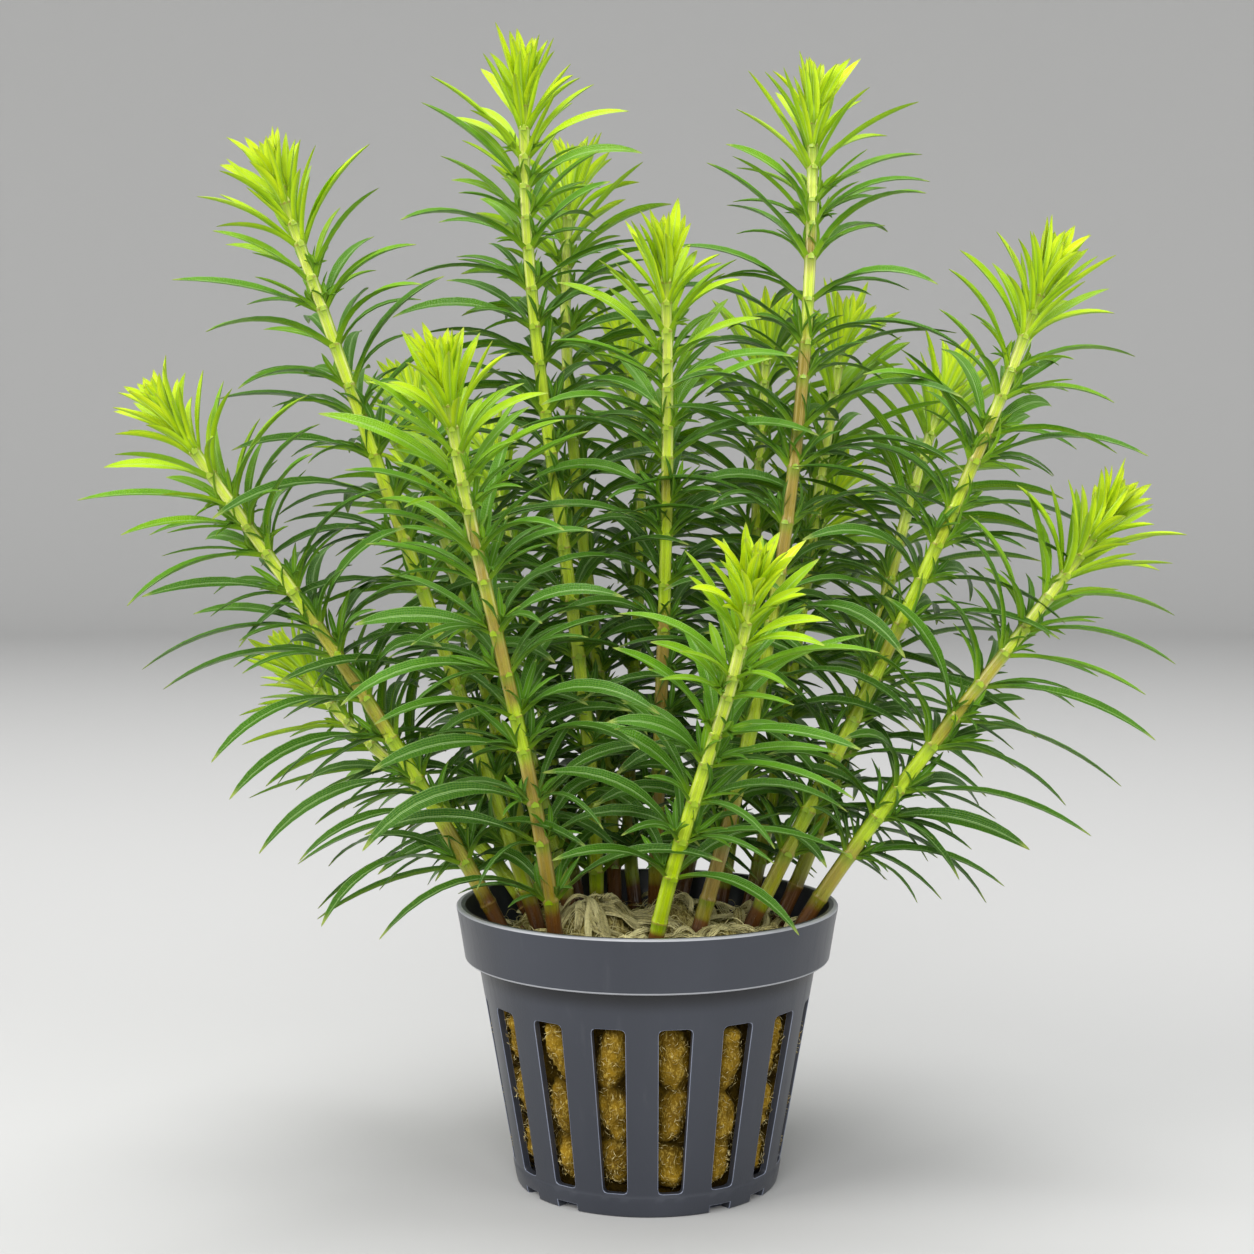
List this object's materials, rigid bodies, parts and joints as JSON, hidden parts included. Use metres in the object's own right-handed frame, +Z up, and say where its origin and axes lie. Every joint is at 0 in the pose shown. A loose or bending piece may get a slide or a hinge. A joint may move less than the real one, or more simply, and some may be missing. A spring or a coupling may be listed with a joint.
{
  "type": "potted pogostemon deccanensis",
  "caption": "Aquarium stem plant with whorls of narrow arching leaves and bright crowns, rooted in rock wool in a slotted net pot.",
  "frame": {"origin": "the centre of the pot's flat underside, on the surface that the pot stands on", "axes": "+Z up along the pot's axis; -Y is the front, as pictured; +X to the right seen from the front"},
  "size_m": [0.1381, 0.095, 0.1498],
  "materials": {
    "pot_plastic": "satin moulded blue-grey polypropylene, paler along its edges",
    "rock_wool": "matt damp mineral wool, ochre with pale loose fibres",
    "leafy_stem": "fresh satin plant tissue, lime green at the crowns, deep green on old leaves, brown at the feet"
  },
  "bodies": {
    "root": {"net_pot": "pot_plastic", "rock_wool": "rock_wool", "stem_01": "leafy_stem", "stem_02": "leafy_stem", "stem_03": "leafy_stem", "stem_04": "leafy_stem", "stem_05": "leafy_stem", "stem_06": "leafy_stem", "stem_07": "leafy_stem", "stem_08": "leafy_stem", "stem_09": "leafy_stem", "stem_10": "leafy_stem", "stem_11": "leafy_stem", "stem_12": "leafy_stem", "stem_13": "leafy_stem", "stem_14": "leafy_stem", "stem_15": "leafy_stem", "stem_16": "leafy_stem", "stem_17": "leafy_stem", "stem_18": "leafy_stem", "stem_19": "leafy_stem"}
  },
  "joints": []
}
